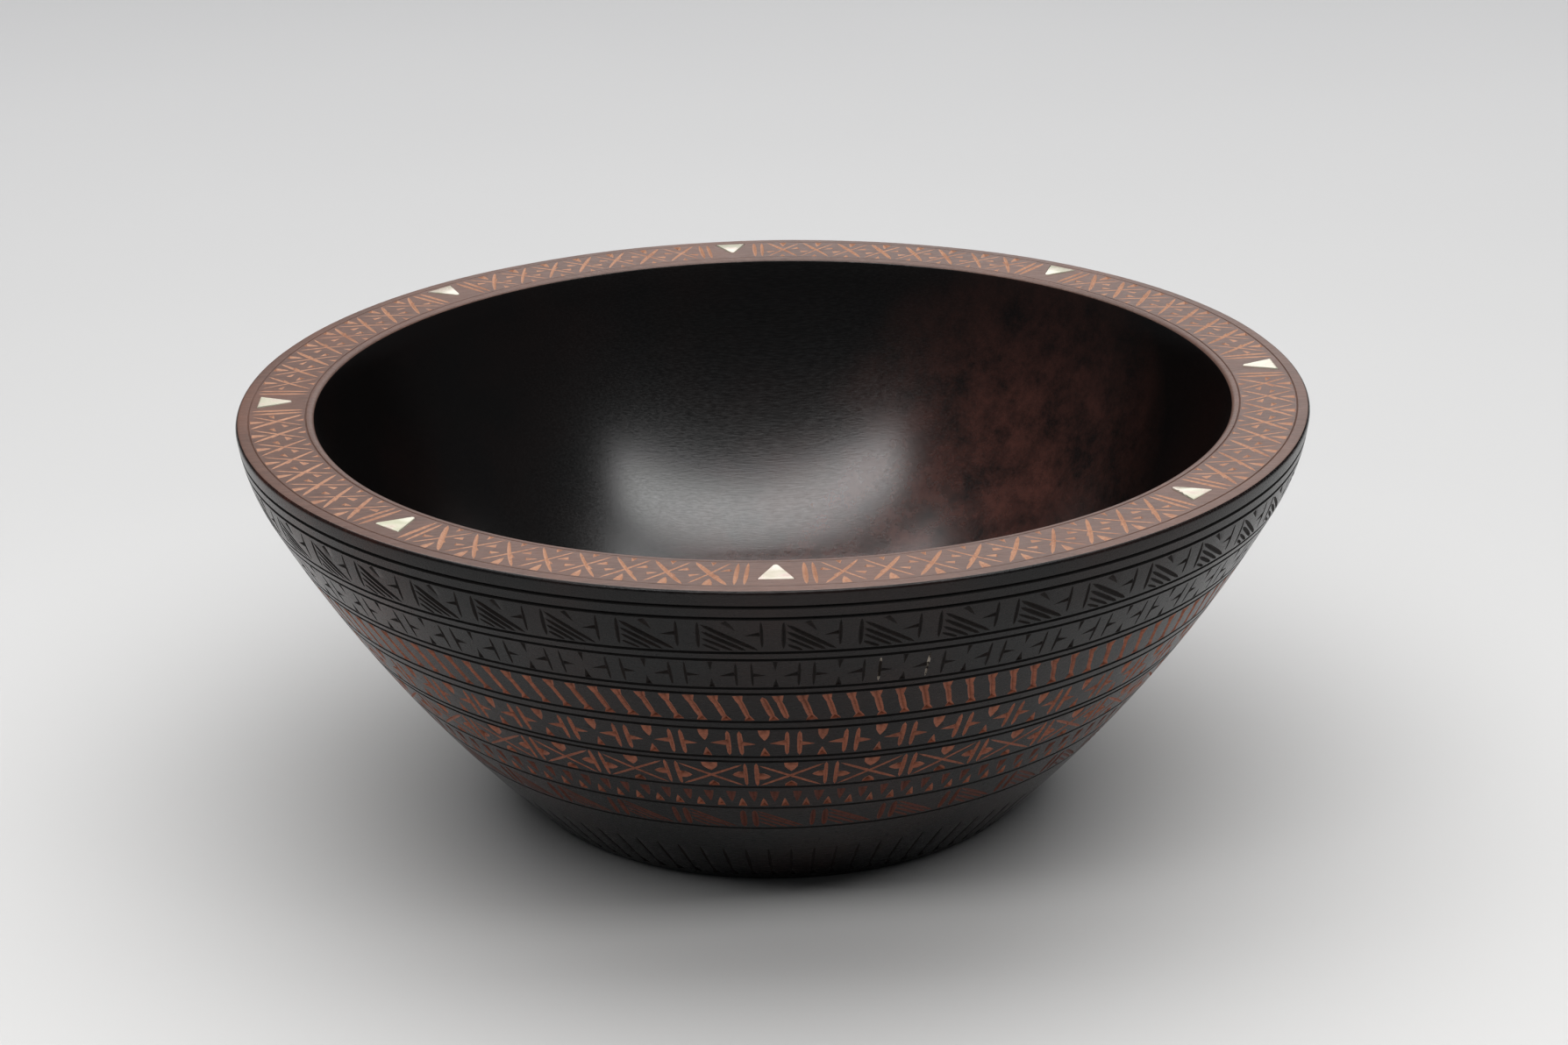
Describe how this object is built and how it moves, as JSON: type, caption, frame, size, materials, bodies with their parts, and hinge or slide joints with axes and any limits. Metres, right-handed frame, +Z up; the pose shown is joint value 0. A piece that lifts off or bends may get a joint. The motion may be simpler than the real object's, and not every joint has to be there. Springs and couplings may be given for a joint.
{
  "type": "carved wooden bowl",
  "caption": "Round turned bowl with a wide flat rim, a smooth deep hollow, turned border grooves down the outside and triangular shell inlays let into the rim's top.",
  "frame": {"origin": "centre of the flat foot, on the table", "axes": "+Z up along the turning axis, -Y towards the front, where the first inlay is"},
  "size_m": [0.3, 0.3, 0.1172],
  "materials": {
    "stained_wood": "satin",
    "shell": "polished nacre"
  },
  "bodies": {
    "root": {"bowl_body": "stained_wood", "inlay_1": "shell", "inlay_2": "shell", "inlay_3": "shell", "inlay_4": "shell", "inlay_5": "shell", "inlay_6": "shell", "inlay_7": "shell", "inlay_8": "shell"}
  },
  "joints": []
}
